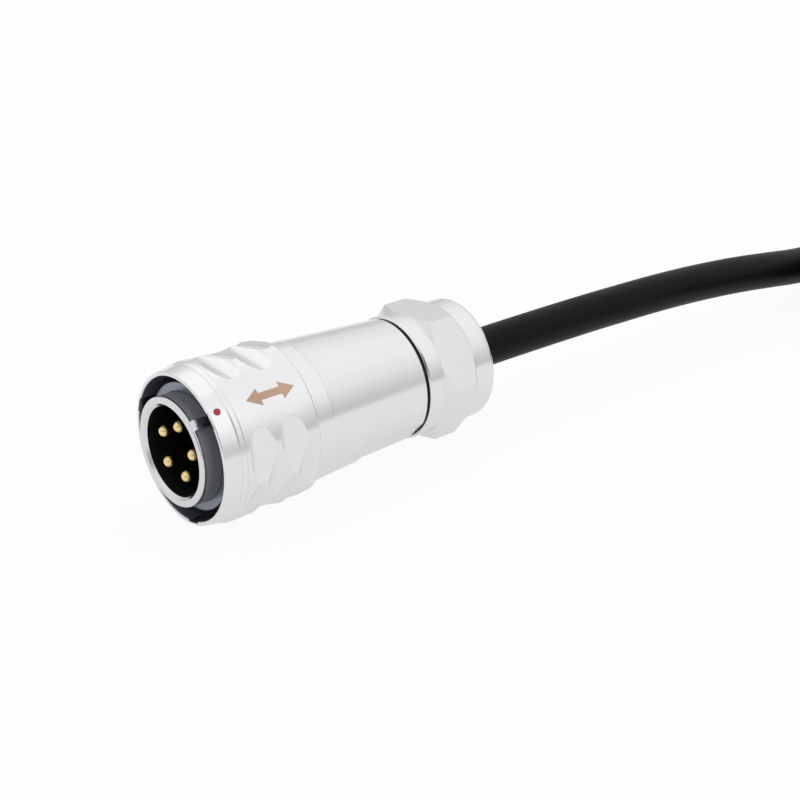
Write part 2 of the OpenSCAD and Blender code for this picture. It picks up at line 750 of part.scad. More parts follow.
front_shell();
insulator();
contact_pin(1);  // contact_pin_1
contact_pin(2);  // contact_pin_2
contact_pin(3);  // contact_pin_3
contact_pin(4);  // contact_pin_4
contact_pin(5);  // contact_pin_5
insert_ring();
latch_collet();
coupling_sleeve();
release_tube();
arrow_mark();
index_dot();
sleeve_spring();
rear_body();
shell_seal();
nut_seal();
grommet();
clamp_collet();
thrust_washer();
clamp_nut();
core(1);  // core_1
core(2);  // core_2
core(3);  // core_3
core(4);  // core_4
core(5);  // core_5
cable();
cable_coil();
coil_tie(1);  // coil_tie_1
coil_tie(2);  // coil_tie_2
core_end(1);  // core_end_1
core_end(2);  // core_end_2
core_end(3);  // core_end_3
core_end(4);  // core_end_4
core_end(5);  // core_end_5
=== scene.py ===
"""Looks of the push pull circular connector and its cable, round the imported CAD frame."""

import json
import math
import random

import bmesh
import bpy
from mathutils import Matrix, Vector


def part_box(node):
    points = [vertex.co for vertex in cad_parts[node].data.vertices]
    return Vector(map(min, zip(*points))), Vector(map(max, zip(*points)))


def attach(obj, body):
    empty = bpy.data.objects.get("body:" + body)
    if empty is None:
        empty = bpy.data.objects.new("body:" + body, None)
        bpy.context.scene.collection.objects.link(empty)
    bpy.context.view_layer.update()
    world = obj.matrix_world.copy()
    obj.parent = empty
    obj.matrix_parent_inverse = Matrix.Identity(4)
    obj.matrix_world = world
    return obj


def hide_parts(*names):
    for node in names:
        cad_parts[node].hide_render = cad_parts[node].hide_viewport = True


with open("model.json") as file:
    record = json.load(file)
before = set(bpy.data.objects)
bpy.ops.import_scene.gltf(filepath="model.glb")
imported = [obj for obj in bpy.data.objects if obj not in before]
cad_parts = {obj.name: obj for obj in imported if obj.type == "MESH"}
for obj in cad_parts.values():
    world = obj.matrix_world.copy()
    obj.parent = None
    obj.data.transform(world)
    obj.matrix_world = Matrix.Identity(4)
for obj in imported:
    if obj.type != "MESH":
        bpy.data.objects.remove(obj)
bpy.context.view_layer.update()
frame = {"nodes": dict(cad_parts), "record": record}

MM = 0.001
TURN = 2 * math.pi
ROOT = "plug_body"
SLEEVE = "locking_sleeve"
SEED = 7
rng = random.Random(SEED)


# ---- places that everything else is set from ----------------------------

def middle(node_name):
    lo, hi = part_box(node_name)
    return (lo + hi) / 2


AXIS_Z = middle("thrust_washer").z
MOUTH_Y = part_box("coupling_sleeve")[0].y
NUT_END_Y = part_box("clamp_nut")[1].y
NOSE_FRONT_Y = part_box("front_shell")[0].y
PIN_TIP_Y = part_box("contact_pin_1")[0].y
NECK_START_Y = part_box("nut_seal")[0].y
NECK_END_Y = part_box("rear_body")[1].y

NOSE_BORE_R = 8.1 * MM
NOSE_R = 9.84 * MM
SLEEVE_BORE_R = 12.95 * MM
NECK_R = 9.9 * MM
THREAD_LEAD = 1 * MM
THREAD_DEPTH = 0.9 * MM                 # of the bump that shows the thread
CABLE_R = 3.8 * MM
COIL_R = 38 * MM                        # halfway between the outer and the inner turn
COIL_X = 33 * MM
COIL_Y = 165 * MM
COIL_Z = 4.65 * MM                      # height of the lower turns' middle, on their straps

# Middle of the cable past the nut, in millimetres
ROUTE = [(0, 38, 14.46), (0, 45, 14.43), (0, 60, 14.25), (0, 75, 13.85), (0, 90, 13.15),
         (0, 104, 11.95), (0, 112, 11), (0, 120, 9.85), (-0.4, 128, 8.5), (-1.3, 134, 7.5),
         (-2.8, 140, 6.6), (-4.7, 146, 5.85)]


# ---- camera ---------------------------------------------------------------

CAMERA_TURN = 50.97                     # degrees round the upright axis
CAMERA_TILT = 25.38                     # degrees that it looks down
CAMERA_RIGHT = 37.47 * MM               # of the mouth's middle, as the camera sees it
CAMERA_UP = 8.43 * MM
CAMERA_BACK = 341.28 * MM
LENS_MM = 90.09
SENSOR_MM = 36
CLIP_NEAR, CLIP_FAR = 0.01, 50


def place_camera():
    az, el = math.radians(CAMERA_TURN), math.radians(CAMERA_TILT)
    right = Vector((math.cos(az), math.sin(az), 0))
    away = Vector((-math.sin(az) * math.cos(el), math.cos(az) * math.cos(el), -math.sin(el)))
    up = right.cross(away)
    data = bpy.data.cameras.new("camera")
    data.lens = LENS_MM
    data.sensor_width = SENSOR_MM
    data.clip_start = CLIP_NEAR
    data.clip_end = CLIP_FAR
    cam = bpy.data.objects.new("camera", data)
    bpy.context.scene.collection.objects.link(cam)
    target = Vector((0, MOUTH_Y, AXIS_Z))
    place = target + right * CAMERA_RIGHT + up * CAMERA_UP - away * CAMERA_BACK
    turn = Matrix((right, up, -away)).transposed().to_4x4()
    cam.matrix_world = Matrix.Translation(place) @ turn
    bpy.context.scene.camera = cam


place_camera()


# ---- mesh helpers ---------------------------------------------------------

def link_mesh(name, verts, faces, smooth=True):
    mesh = bpy.data.meshes.new(name)
    mesh.from_pydata([tuple(v) for v in verts], [], faces)
    mesh.update()
    bm = bmesh.new()
    bm.from_mesh(mesh)
    bmesh.ops.recalc_face_normals(bm, faces=bm.faces)
    bm.to_mesh(mesh)
    bm.free()
    for face in mesh.polygons:
        face.use_smooth = smooth
    obj = bpy.data.objects.new(name, mesh)
    bpy.context.scene.collection.objects.link(obj)
    return obj


def link_curve(name, lines, radius, resolution, sides):
    """Round wires of one piece, each an open spline through its points"""
    data = bpy.data.curves.new(name, "CURVE")
    data.dimensions = "3D"
    data.bevel_depth = radius
    data.bevel_resolution = sides
    data.resolution_u = resolution
    data.use_fill_caps = True
    for points in lines:
        spline = data.splines.new("BEZIER")
        spline.bezier_points.add(len(points) - 1)
        for bp, p in zip(spline.bezier_points, points):
            bp.co = p
            bp.handle_left_type = bp.handle_right_type = "AUTO"
    obj = bpy.data.objects.new(name, data)
    bpy.context.scene.collection.objects.link(obj)
    return obj


def swept_tube(rings):
    """Vertices and faces of a capped skin over rings that have the same number of points"""
    n, count = len(rings[0]), len(rings)
    verts = [p for ring in rings for p in ring]
    faces = []
    for i in range(count - 1):
        a, b = i * n, (i + 1) * n
        for j in range(n):
            k = (j + 1) % n
            faces.append((a + j, b + j, b + k, a + k))
    faces.append(tuple(range(n)))
    faces.append(tuple((count - 1) * n + j for j in reversed(range(n))))
    return verts, faces


# ---- cable ----------------------------------------------------------------

def smooth_step(t):
    t = min(max(t, 0), 1)
    return t * t * (3 - 2 * t)


RING_OUT = COIL_R + CABLE_R
RING_IN = COIL_R - CABLE_R
ENTRY_LIFT = 0.6 * MM                   # how far above the lower turns the cable comes in
COIL_STEPS = 94

# Angles round the coil in degrees, which fall along the cable
COIL_ENTRY = 198                        # the route meets the coil
DOWN_BY = 165                           # the cable has come down to the lower turns
CROSS_FROM, CROSS_TO = -100, -162       # the outer turn moves over to become the inner one
CLIMB_FROM, CLIMB_TO = -412, -460       # the inner turn climbs on top
JACKET_END = -745
HUMP_WIDTH = 26                         # extent of the top turn's rise over the entry
CORE_ARC = 26                           # extent of the cores past the jacket

CLIMB_TURN = 60                         # degrees that the climbing turn rolls over the outer one


def cross_radius(phi):
    share = smooth_step((phi - CROSS_FROM) / (CROSS_TO - CROSS_FROM))
    return RING_OUT + (RING_IN - RING_OUT) * share


def coil_section(phi):
    """Radius and height of the cable's middle, by the angle it has come round to"""
    if phi >= CROSS_TO:
        lift = ENTRY_LIFT * smooth_step((phi - DOWN_BY) / (COIL_ENTRY - DOWN_BY))
        return cross_radius(phi), COIL_Z + lift
    if phi >= CLIMB_FROM:
        return RING_IN, COIL_Z
    if phi >= CLIMB_TO:
        t = smooth_step((phi - CLIMB_FROM) / (CLIMB_TO - CLIMB_FROM))
        a = math.radians(180 - CLIMB_TURN * t)
        return RING_OUT + 2 * CABLE_R * math.cos(a), COIL_Z + 2 * CABLE_R * math.sin(a)
    under = cross_radius(phi + 360)
    height = COIL_Z + math.sqrt(4 * CABLE_R ** 2 - (under - COIL_R) ** 2)
    over_entry = ENTRY_LIFT * math.exp(-((phi + 720 - COIL_ENTRY) / HUMP_WIDTH) ** 2)
    return COIL_R, height + over_entry


def coil_point(phi, dr=0.0, dz=0.0):
    r, z = coil_section(phi)
    a = math.radians(phi)
    return Vector((COIL_X + (r + dr) * math.cos(a), COIL_Y + (r + dr) * math.sin(a), z + dz))


def cable_points():
    points = [Vector((0, NUT_END_Y, AXIS_Z))]
    points += [Vector(p) * MM for p in ROUTE]
    for i in range(COIL_STEPS + 1):
        points.append(coil_point(COIL_ENTRY + (JACKET_END - COIL_ENTRY) * i / COIL_STEPS))
    return points


def curve_length(obj):
    """Length along a curve's middle, measured on a copy without thickness"""
    depsgraph = bpy.context.evaluated_depsgraph_get()
    data = obj.data.copy()
    data.bevel_depth = 0
    probe = bpy.data.objects.new("probe", data)
    bpy.context.scene.collection.objects.link(probe)
    depsgraph.update()
    mesh = probe.evaluated_get(bpy.context.evaluated_depsgraph_get()).to_mesh()
    total = sum((mesh.vertices[e.vertices[0]].co - mesh.vertices[e.vertices[1]].co).length
                for e in mesh.edges)
    bpy.data.objects.remove(probe)
    bpy.data.curves.remove(data)
    return total


CABLE_SIDES = 12
JACKET_HOLD = 8 * MM                    # last stretch inside the nut

cable = link_curve("cable_line", [cable_points()], CABLE_R, resolution=4, sides=CABLE_SIDES)
cable_length = curve_length(cable)
jacket_inside = link_curve(
    "jacket_in_nut",
    [[Vector((0, y, AXIS_Z))
      for y in (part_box("cable")[0].y, NUT_END_Y - JACKET_HOLD, NUT_END_Y)]],
    CABLE_R, resolution=2, sides=CABLE_SIDES)


# ---- ties round the coil --------------------------------------------------

TIE_ANGLES = (144, 29)
TIE_W = 12 * MM
TIE_T = 0.8 * MM
TIE_CLEAR = 0.05 * MM
TIE_POINTS = 72                         # round the bundle, before it is made finer
TIE_STEP = 0.7 * MM
TIE_START = TIE_POINTS * 5 // 8
TIE_LAP = TIE_POINTS // 4
TIE_LAP_RISE = 8                        # steps in which the tail rises onto the start
TIE_LAP_EARLY = 6                       # steps before the lap where the rise begins
TIE_LAP_LIFT = 1.02 * TIE_T
TIE_END_STEPS = 5                       # the tail narrows over these
TIE_END_TAPER = 0.35
TIE_EDGE = 0.55                         # share of the thickness that is left at the edges
TIE_FUZZ = 0.03 * MM
TIE_ACROSS = (-1, -0.94, -0.6, -0.2, 0.2, 0.6, 0.94, 1)
BUNDLE_MIDDLE = (COIL_R, COIL_Z + CABLE_R * 0.6)


def bundle_outline(grow):
    """Outline of the three turns pulled together, as (radius, height) from its lowest point"""
    centres = [(RING_OUT, COIL_Z), (RING_IN, COIL_Z),
               (COIL_R, COIL_Z + CABLE_R * math.sqrt(3))]
    outline = []
    for i in range(TIE_POINTS):
        a = TURN * i / TIE_POINTS - math.pi / 2
        u = (math.cos(a), math.sin(a))
        c = max(centres, key=lambda q: q[0] * u[0] + q[1] * u[1])
        outline.append((c[0] + (CABLE_R + grow) * u[0], c[1] + (CABLE_R + grow) * u[1]))
    return outline


def resample(path, step):
    """The same path with points no further apart than a step"""
    out = [path[0]]
    for a, b in zip(path, path[1:]):
        gap = math.hypot(b[0] - a[0], b[1] - a[1])
        n = max(1, math.ceil(gap / step))
        out += [(a[0] + (b[0] - a[0]) * k / n, a[1] + (b[1] - a[1]) * k / n)
                for k in range(1, n + 1)]
    return out


def strap(name, angle):
    """A hook-and-loop strap: once round the bundle, and its tail lapped over the start"""
    mid_path = bundle_outline(TIE_CLEAR + TIE_T / 2)
    order = [mid_path[(TIE_START + i) % TIE_POINTS] for i in range(TIE_POINTS + TIE_LAP)]
    base = resample(order, TIE_STEP)
    around = len(base)
    lap_from = around * TIE_POINTS / len(order)
    rings = []
    for i, (r, z) in enumerate(base):
        a, b = base[max(i - 1, 0)], base[min(i + 1, around - 1)]
        t = Vector((b[0] - a[0], 0, b[1] - a[1])).normalized()
        out = Vector((t.z, 0, -t.x))
        if out.dot(Vector((r - BUNDLE_MIDDLE[0], 0, z - BUNDLE_MIDDLE[1]))) < 0:
            out = -out
        lift = TIE_LAP_LIFT * smooth_step((i - lap_from + TIE_LAP_EARLY) / TIE_LAP_RISE)
        end = min(1, (around - 1 - i) / TIE_END_STEPS)
        taper = 1 - TIE_END_TAPER * (1 - math.sqrt(max(0, 1 - (1 - end) ** 2)))
        ring = []
        for side in (1, -1):
            for w in TIE_ACROSS[::side]:
                thick = TIE_EDGE if abs(w) == 1 else 1
                fuzz = rng.uniform(-TIE_FUZZ, TIE_FUZZ) if side > 0 else 0
                p = Vector((r, 0, z)) + out * (lift + side * thick * TIE_T / 2 + fuzz)
                aa = math.radians(angle) + w * TIE_W / 2 * taper / COIL_R
                ring.append((COIL_X + p.x * math.cos(aa), COIL_Y + p.x * math.sin(aa), p.z))
        rings.append(ring)
    return link_mesh(name, *swept_tube(rings))


ties = [strap(f"strap_{i + 1}", a) for i, a in enumerate(TIE_ANGLES)]


# ---- stripped end ---------------------------------------------------------

CORE_R = 1.0 * MM
CORE_RING = 1.9 * MM
CORE_COLOURS = ("black", "blue", "brown", "grey", "yellow")
CORE_SPREAD = 360 / len(CORE_COLOURS)
CORE_SLEEVED = CORE_ARC * 0.69          # degrees of the coil that the insulation covers
CORE_HIDDEN = 2                         # degrees that it starts inside the jacket
CORE_FAN = 0.45
CORE_POINTS = 8
STRANDS = 7                             # six round a middle one
STRAND_R = 0.19 * MM
STRAND_RING = 2 * STRAND_R
STRAND_HIDDEN = 0.6                     # degrees that the strands start inside the insulation
STRAND_SHORT = 0.4                      # degrees that the longest ends short of the arc
STRAND_STAGGER = 0.35                   # degrees between the ends of neighbouring cores
STRAND_POINTS = 14
STRAND_LAY = 0.22                       # turn of the strands from point to point, in radians
LOOK_AHEAD = 0.5                        # degrees to the point that gives a strand's direction


def core_end(i):
    """One insulated core past the jacket's end, and its seven bare strands"""
    spread = math.radians(90 + (i - 2) * CORE_SPREAD)

    def at(step):
        fan = 1 + CORE_FAN * smooth_step(step / CORE_ARC)
        return coil_point(JACKET_END - step, fan * CORE_RING * math.cos(spread),
                          fan * CORE_RING * math.sin(spread))

    sleeve = [at(-CORE_HIDDEN + (CORE_SLEEVED + CORE_HIDDEN) * k / CORE_POINTS)
              for k in range(CORE_POINTS + 1)]
    wire = link_curve(f"core_sleeve_{i + 1}", [sleeve], CORE_R, resolution=3, sides=6)
    strands = []
    first = CORE_SLEEVED - STRAND_HIDDEN
    last = CORE_ARC - STRAND_SHORT - STRAND_STAGGER * i
    for s in range(STRANDS):
        points = []
        for k in range(STRAND_POINTS + 1):
            step = first + (last - first) * k / STRAND_POINTS
            base, ahead = at(step), at(step + LOOK_AHEAD)
            t = (ahead - base).normalized()
            side = t.cross(Vector((0, 0, 1))).normalized()
            up = side.cross(t)
            a = s * TURN / (STRANDS - 1) + k * STRAND_LAY
            ring = 0 if s == STRANDS - 1 else STRAND_RING
            points.append(base + side * ring * math.cos(a) + up * ring * math.sin(a))
        strands.append(points)
    return wire, link_curve(f"core_strands_{i + 1}", strands, STRAND_R, resolution=2, sides=3)


cores = [core_end(i) for i in range(len(CORE_COLOURS))]


# ---- materials ------------------------------------------------------------

BEVEL_SAMPLES = 6
TOOL_MARKS = 5200                       # noise scale
PORES = 2600                            # noise scale
METAL_GRAIN = 0.02 * MM                 # bump distances
MOULD_GRAIN = 0.03 * MM
CLOTH_GRAIN = 0.15 * MM
NICKEL = (0.825, 0.815, 0.83)
# Painted shade in the coupling sleeve's bore
BORE_PAINTED_SHADE = (0.2, 0.215, 0.25, 1)
# Painted shade on the nose: grey on its side behind the front ring, black in its bore
NOSE_WALL_PAINTED_SHADE = (0.36, 0.37, 0.4, 1)
NOSE_BORE_PAINTED_SHADE = (0.006, 0.006, 0.0065, 1)
# Painted shade: darker gold down the contacts' sides
GOLD_SHANK_PAINTED_SHADE = (0.5, 0.36, 0.16, 1)
GOLD_TIP = (1.0, 0.77, 0.36, 1)


def add_node(tree, kind, inputs=None, **props):
    """A shader node; an input is linked where it is given a socket, and set otherwise"""
    node = tree.nodes.new("ShaderNode" + kind)
    for key, value in props.items():
        setattr(node, key, value)
    for key, value in (inputs or {}).items():
        if isinstance(value, bpy.types.NodeSocket):
            tree.links.new(value, node.inputs[key])
        else:
            node.inputs[key].default_value = value
    return node


class Shader:
    """A Principled material with a few shorthand calls"""

    def __init__(self, name, colour, rough, metal=0.0, **sockets):
        self.mat = bpy.data.materials.new(name)
        self.mat.use_nodes = True
        self.tree = self.mat.node_tree
        self.bsdf = self.tree.nodes["Principled BSDF"]
        self.bsdf.inputs["Base Color"].default_value = (*colour, 1)
        self.bsdf.inputs["Roughness"].default_value = rough
        self.bsdf.inputs["Metallic"].default_value = metal
        for key, value in sockets.items():
            self.bsdf.inputs[key.replace("_", " ")].default_value = value

    def add(self, kind, inputs=None, **props):
        return add_node(self.tree, kind, inputs, **props)

    def maths(self, op, a, b=0.0, c=0.0):
        return self.add("Math", {0: a, 1: b, 2: c}, operation=op).outputs[0]

    def coords(self):
        return self.add("TexCoord").outputs["Object"]

    def axis_parts(self):
        """Radius from the plug's axis, station along it, and X and Z from the axis"""
        sep = self.add("SeparateXYZ", {0: self.coords()})
        x = sep.outputs["X"]
        z = self.maths("SUBTRACT", sep.outputs["Z"], AXIS_Z)
        r = self.maths("SQRT", self.maths("ADD", self.maths("MULTIPLY", x, x),
                                          self.maths("MULTIPLY", z, z)))
        return r, sep.outputs["Y"], x, z

    def noise(self, scale, detail=2.0, rough=0.5, vector=None, w=None):
        inputs = {"Scale": scale, "Detail": detail, "Roughness": rough}
        if w is not None:
            inputs["W"] = w
            return self.add("TexNoise", inputs, noise_dimensions="1D").outputs["Fac"]
        inputs["Vector"] = vector if vector is not None else self.coords()
        return self.add("TexNoise", inputs).outputs["Fac"]

    def ramp(self, fac, lo, hi, to_lo=0.0, to_hi=1.0):
        return self.add("MapRange", {"Value": fac, "From Min": lo, "From Max": hi,
                                     "To Min": to_lo, "To Max": to_hi}).outputs[0]

    def mix(self, fac, a, b, blend="MIX"):
        """Colour mix; the Mix node has sockets of one name for each kind of data"""
        node = self.add("Mix", data_type="RGBA", blend_type=blend)
        for socket, value in (("Factor", fac), ("A", a), ("B", b)):
            target = [s for s in node.inputs if s.name == socket and s.enabled][0]
            if isinstance(value, bpy.types.NodeSocket):
                self.tree.links.new(value, target)
            else:
                target.default_value = value
        return [s for s in node.outputs if s.enabled][0]

    def bump(self, height, strength, distance, normal=None):
        inputs = {"Height": height, "Strength": strength, "Distance": distance}
        if normal is not None:
            inputs["Normal"] = normal
        return self.add("Bump", inputs).outputs[0]

    def soft_edges(self, radius):
        return self.add("Bevel", {"Radius": radius}, samples=BEVEL_SAMPLES).outputs[0]

    def to(self, socket, value):
        self.tree.links.new(value, self.bsdf.inputs[socket])


def stretched(shader, scale):
    """Object coordinates, scaled along each axis by itself"""
    mapping = shader.add("Mapping", {"Vector": shader.coords(), "Scale": scale})
    return mapping.outputs[0]


def threaded(m, normal, r, y, x, z):
    """Adds the screw thread to the neck's normal, and leaves the rest of the body alone"""
    angle = m.maths("DIVIDE", m.maths("ARCTAN2", x, z), TURN)
    turns = m.maths("ADD", m.maths("DIVIDE", y, THREAD_LEAD), angle)
    ridge = m.maths("PINGPONG", turns, 0.5)
    along = m.maths("MULTIPLY", m.ramp(y, NECK_START_Y, NECK_START_Y + 0.4 * MM),
                    m.ramp(y, NECK_END_Y - 0.8 * MM, NECK_END_Y - 0.4 * MM, 1.0, 0.0))
    on_neck = m.maths("MULTIPLY", along, m.maths("COMPARE", r, NECK_R, 0.15 * MM))
    return m.bump(m.maths("MULTIPLY", ridge, on_neck), 1.0, THREAD_DEPTH, normal)


def plated_metal(name, colour, rough, lines, edge=0.09 * MM, smudge=0.03, thread=False,
                 bore=None):
    """Turned and plated metal: fine tool marks round the axis, soft edges, faint handling marks;
    grey painted shade in the bore, where one is given
    """
    m = Shader(name, colour, rough, 1.0)
    r, y, x, z = m.axis_parts()
    track = m.maths("ADD", r, y)
    marks = m.noise(TOOL_MARKS, 3, 0.7, w=track)
    broad = m.noise(900, 1, 0.5, w=track)
    pores = m.noise(PORES, 3, 0.6)
    height = m.maths("ADD", marks, m.maths("MULTIPLY", pores, 0.25))
    normal = m.bump(height, lines, METAL_GRAIN, m.soft_edges(edge))
    if thread:
        normal = threaded(m, normal, r, y, x, z)
    m.to("Normal", normal)
    cloud = m.noise(95, 3, 0.55)
    vary = m.maths("ADD", m.ramp(cloud, 0.35, 0.7, -smudge, smudge),
                   m.ramp(broad, 0.3, 0.7, -0.02, 0.02))
    m.to("Roughness", m.maths("ADD", vary, rough))
    tint = m.ramp(cloud, 0.3, 0.7, 0.975, 1.0)
    plain = m.mix(1.0, (*colour, 1), m.add(
        "CombineColor", {0: tint, 1: tint, 2: tint}).outputs[0], "MULTIPLY")
    if bore:
        # Painted shade: the bore is greyer and less metallic than the outside
        inside = m.ramp(r, bore + 0.14 * MM, bore + 0.05 * MM)
        m.to("Metallic", m.ramp(inside, 0, 1, 1.0, 0.5))
        plain = m.mix(inside, plain, BORE_PAINTED_SHADE)
    m.to("Base Color", plain)
    return m.mat


def lined_nose(name, colour, rough):
    """Nickel nose ring and key; painted shade makes the nose's side behind them greyer, where the
    sleeve's mouth shades it, and its bore black
    """
    m = Shader(name, colour, rough, 1.0)
    r, y, _, _ = m.axis_parts()
    track = m.maths("ADD", r, y)
    height = m.maths("ADD", m.noise(TOOL_MARKS, 3, 0.7, w=track),
                     m.maths("MULTIPLY", m.noise(PORES, 3, 0.6), 0.5))
    m.to("Normal", m.bump(height, 0.06, METAL_GRAIN, m.soft_edges(0.07 * MM)))
    # Outside the nose's bore; the black in the bore is painted shade
    clear_of_bore_shade = m.ramp(r, NOSE_BORE_R + 0.02 * MM, NOSE_BORE_R + 0.06 * MM)
    # The grey on the side behind the front is painted shade from the sleeve's mouth; the key is
    # left out
    behind = m.ramp(y, NOSE_FRONT_Y + 0.5 * MM, NOSE_FRONT_Y + 1.1 * MM)
    wall = m.maths("MULTIPLY", behind, m.ramp(r, NOSE_R - 0.12 * MM, NOSE_R - 0.04 * MM))
    key = m.ramp(r, NOSE_R + 0.05 * MM, NOSE_R + 0.2 * MM)
    wall = m.maths("MULTIPLY", wall, m.maths("SUBTRACT", 1.0, key))
    m.to("Metallic", m.maths("MULTIPLY", clear_of_bore_shade, m.ramp(wall, 0, 1, 1.0, 0.55)))
    m.to("Roughness", m.maths("ADD", m.ramp(clear_of_bore_shade, 0, 1, 0.5, rough),
                              m.ramp(wall, 0, 1, 0, 0.2)))
    outer = m.mix(wall, (*colour, 1), NOSE_WALL_PAINTED_SHADE)
    m.to("Base Color", m.mix(clear_of_bore_shade, NOSE_BORE_PAINTED_SHADE, outer))
    m.bsdf.inputs["Specular IOR Level"].default_value = 0.2
    return m.mat


def gold():
    """Polished gold, paler and softer on the contacts' round ends; the darker gold down their
    sides is painted shade from the dark holes round them
    """
    m = Shader("gold_plate", (0.98, 0.82, 0.5), 0.24, 1.0)
    _, y, _, _ = m.axis_parts()
    end = m.ramp(y, PIN_TIP_Y + 0.8 * MM, PIN_TIP_Y + 1.15 * MM, 1.0, 0.0)
    m.to("Metallic", m.ramp(end, 0, 1, 1.0, 0.6))
    m.to("Roughness", m.ramp(end, 0, 1, 0.2, 0.26))
    # The darker gold on the sides is painted shade
    m.to("Base Color", m.mix(end, GOLD_SHANK_PAINTED_SHADE, GOLD_TIP))
    m.to("Normal", m.bump(m.noise(1500, 3, 0.6), 0.08, METAL_GRAIN, m.soft_edges(0.06 * MM)))
    return m.mat


def plain_metal(name, colour, rough, scale):
    """Metal without turning marks"""
    m = Shader(name, colour, rough, 1.0)
    grain = m.noise(scale, 3, 0.6)
    m.to("Normal", m.bump(grain, 0.12, METAL_GRAIN, m.soft_edges(0.06 * MM)))
    m.to("Roughness", m.ramp(m.noise(200, 2), 0.3, 0.7, rough - 0.04, rough + 0.05))
    return m.mat


def moulded(name, colour, rough, grain=3000, strength=0.12, **sockets):
    """Moulded plastic, rubber or enamel, a little darker in clouds"""
    m = Shader(name, colour, rough, 0.0, **sockets)
    fine = m.noise(grain, 3, 0.6)
    m.to("Normal", m.bump(fine, strength, MOULD_GRAIN, m.soft_edges(0.08 * MM)))
    cloud = m.noise(160, 2)
    m.to("Roughness", m.ramp(cloud, 0.3, 0.7, rough - 0.05, rough + 0.06))
    dark = tuple(c * 0.86 for c in colour)
    m.to("Base Color", m.mix(m.ramp(cloud, 0.35, 0.65), (*dark, 1), (*colour, 1)))
    return m.mat


def jacket():
    """Matt black rubber with faint lines along it from the extruder"""
    m = Shader("jacket_rubber", (0.004, 0.004, 0.0045), 0.45)
    m.bsdf.inputs["Specular IOR Level"].default_value = 0.1
    m.bsdf.inputs["Sheen Weight"].default_value = 0.02
    m.bsdf.inputs["Sheen Roughness"].default_value = 0.45
    along = stretched(m, (1, 0.04, 1))
    lines = m.noise(2200, 2, 0.5, vector=along)
    fine = m.noise(5200, 3, 0.65)
    height = m.maths("ADD", m.maths("MULTIPLY", lines, 0.6), fine)
    m.to("Normal", m.bump(height, 0.25, MOULD_GRAIN))
    cloud = m.noise(60, 4, 0.6)
    m.to("Roughness", m.ramp(cloud, 0.3, 0.7, 0.38, 0.5))
    m.to("Base Color", m.mix(m.ramp(cloud, 0.3, 0.75), (0.003, 0.003, 0.0035, 1),
                             (0.006, 0.006, 0.0065, 1)))
    return m.mat


def strap_fabric():
    """Black loop fabric"""
    m = Shader("tie_fabric", (0.03, 0.03, 0.033), 0.9)
    cells = m.add("TexVoronoi", {"Vector": m.coords(), "Scale": 2200})
    loops = m.noise(3600, 3, 0.7)
    height = m.maths("ADD", cells.outputs["Distance"], loops)
    m.to("Normal", m.bump(height, 0.7, CLOTH_GRAIN))
    m.to("Base Color", m.mix(m.ramp(loops, 0.3, 0.7), (0.014, 0.014, 0.016, 1),
                             (0.06, 0.06, 0.065, 1)))
    m.bsdf.inputs["Sheen Weight"].default_value = 0.3
    return m.mat


materials = {
    "nickel_plate": plated_metal("nickel_satin", NICKEL, 0.19, 0.016, 0.14 * MM),
    "dark_plate": plated_metal("dark_plate", (0.24, 0.255, 0.3), 0.34, 0.03),
    "bare_metal": plain_metal("bare_metal", (0.6, 0.59, 0.6), 0.3, 2400),
    "spring_metal": plain_metal("spring_metal", (0.52, 0.5, 0.49), 0.28, 3000),
    "gold_plate": gold(),
    "insulator_plastic": moulded("insulator_plastic", (0.0045, 0.0043, 0.0045), 0.45, 2600, 0.1,
                                 Specular_IOR_Level=0.15),
    "arrow_fill": moulded("arrow_fill", (0.62, 0.4, 0.27), 0.5, 2600, 0.15),
    "dot_enamel": moulded("dot_enamel", (0.42, 0.025, 0.03), 0.22, 1200, 0.04),
    "seal_rubber": moulded("seal_rubber", (0.015, 0.015, 0.016), 0.6, 2200, 0.2),
    "collet_plastic": moulded("collet_plastic", (0.72, 0.7, 0.64), 0.5, 2200, 0.1),
    "jacket_rubber": jacket(),
    "tie_fabric": strap_fabric(),
    "core_black": moulded("core_black", (0.015, 0.015, 0.015), 0.45),
    "core_blue": moulded("core_blue", (0.02, 0.09, 0.42), 0.45),
    "core_brown": moulded("core_brown", (0.16, 0.06, 0.025), 0.45),
    "core_grey": moulded("core_grey", (0.3, 0.3, 0.31), 0.45),
    "core_yellow": moulded("core_yellow", (0.6, 0.5, 0.03), 0.45),
}
own_metal = {
    "front_shell": lined_nose("nickel_polished", (0.72, 0.71, 0.73), 0.17),
    "coupling_sleeve": plated_metal("nickel_sleeve", NICKEL, 0.18, 0.016, 0.22 * MM,
                                    bore=SLEEVE_BORE_R),
    "rear_body": plated_metal("nickel_body", NICKEL, 0.19, 0.016, thread=True),
}
tinned = plain_metal("tinned_copper", (0.72, 0.7, 0.68), 0.25, 4000)

slots = {s["node"]: s["material_slot"] for s in frame["record"]["subparts"]}
for node_name, obj in frame["nodes"].items():
    mat = own_metal.get(node_name, materials[slots[node_name]])
    for slot in obj.material_slots:
        slot.material = mat


def dress(obj, slot_name, body, mat=None):
    obj.data.materials.append(mat or materials[slot_name])
    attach(obj, body)


dress(cable, "jacket_rubber", ROOT)
dress(jacket_inside, "jacket_rubber", ROOT)
for tie in ties:
    dress(tie, "tie_fabric", ROOT)
extras = list(ties)
for i, (wire, strands) in enumerate(cores):
    dress(wire, f"core_{CORE_COLOURS[i]}", ROOT)
    dress(strands, "bare_metal", ROOT, tinned)
    extras += [wire, strands]
    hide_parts(f"core_end_{i + 1}")
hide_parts("cable", "cable_coil")
for i, tie in enumerate(ties):
    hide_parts(f"coil_tie_{i + 1}")


# ---- enamel dot -----------------------------------------------------------

DOT_SIDES = 32
